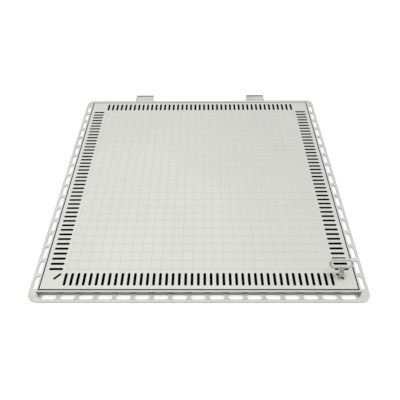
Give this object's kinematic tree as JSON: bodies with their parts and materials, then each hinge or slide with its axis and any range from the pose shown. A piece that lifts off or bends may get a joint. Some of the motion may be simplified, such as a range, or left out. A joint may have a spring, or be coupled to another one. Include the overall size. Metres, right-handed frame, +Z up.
{
  "type": "manhole cover",
  "caption": "Square slotted stainless access cover in a shallow flanged frame with fixing slots and two rear lugs, with a folding lifting key standing in one corner key slot.",
  "frame": {"origin": "centre of the cover on its top face, which is the finished floor level", "axes": "+Z up out of the floor, +Y towards the two lugs, +X to the right seen from the key side"},
  "size_m": [0.954, 0.986, 0.0623],
  "materials": {
    "frame_steel": "pickled satin stainless steel",
    "cover_steel": "fine ground stainless sheet with an engraved square grid",
    "rib_steel": "mill-finish stainless flat bar",
    "key_steel": "polished round bar, handled",
    "rivet_steel": "plain",
    "seal_rubber": "matt black EPDM",
    "screen_mesh": "black coated fine mesh"
  },
  "bodies": {
    "frame": {"wall_front": "frame_steel", "wall_back": "frame_steel", "wall_left": "frame_steel", "wall_right": "frame_steel", "flange_front": "frame_steel", "flange_back": "frame_steel", "flange_left": "frame_steel", "flange_right": "frame_steel", "ledge_front": "frame_steel", "ledge_back": "frame_steel", "ledge_left": "frame_steel", "ledge_right": "frame_steel", "seal_front": "seal_rubber", "seal_back": "seal_rubber", "seal_left": "seal_rubber", "seal_right": "seal_rubber", "lug_left": "frame_steel", "lug_right": "frame_steel"},
    "cover": {"cover_plate": "cover_steel", "edge_front": "rib_steel", "edge_back": "rib_steel", "edge_left": "rib_steel", "edge_right": "rib_steel", "rib_x_1": "rib_steel", "rib_x_2": "rib_steel", "rib_x_3": "rib_steel", "rib_x_4": "rib_steel", "rib_x_5": "rib_steel", "rib_x_6": "rib_steel", "rib_y_1": "rib_steel", "rib_y_2": "rib_steel", "rib_y_3": "rib_steel", "rib_y_4": "rib_steel", "rib_y_5": "rib_steel", "rib_y_6": "rib_steel", "key_plate_left": "rib_steel", "key_plate_right": "rib_steel", "screen_front": "screen_mesh", "screen_back": "screen_mesh", "screen_left": "screen_mesh", "screen_right": "screen_mesh", "screen_rivets": "rivet_steel"},
    "key_stem": {"key_foot": "key_steel", "key_shank": "key_steel"},
    "key_handle": {"key_fork": "key_steel", "key_loop": "key_steel", "key_pin": "key_steel"}
  },
  "joints": [
    {"name": "cover_lift", "type": "slide", "parent": "frame", "child": "cover", "axis": [0, 0, 1], "range_m": [0, 0.15]},
    {"name": "key_turn", "type": "hinge", "parent": "cover", "child": "key_stem", "pos_m": [0.4027, -0.4027, 0], "axis": [0, 0, 1], "range_deg": [-45, 45]},
    {"name": "key_fold", "type": "hinge", "parent": "key_stem", "child": "key_handle", "pos_m": [0.4027, -0.4027, 0.012], "axis": [-1, 0, 0], "range_deg": [-146, 56]}
  ]
}
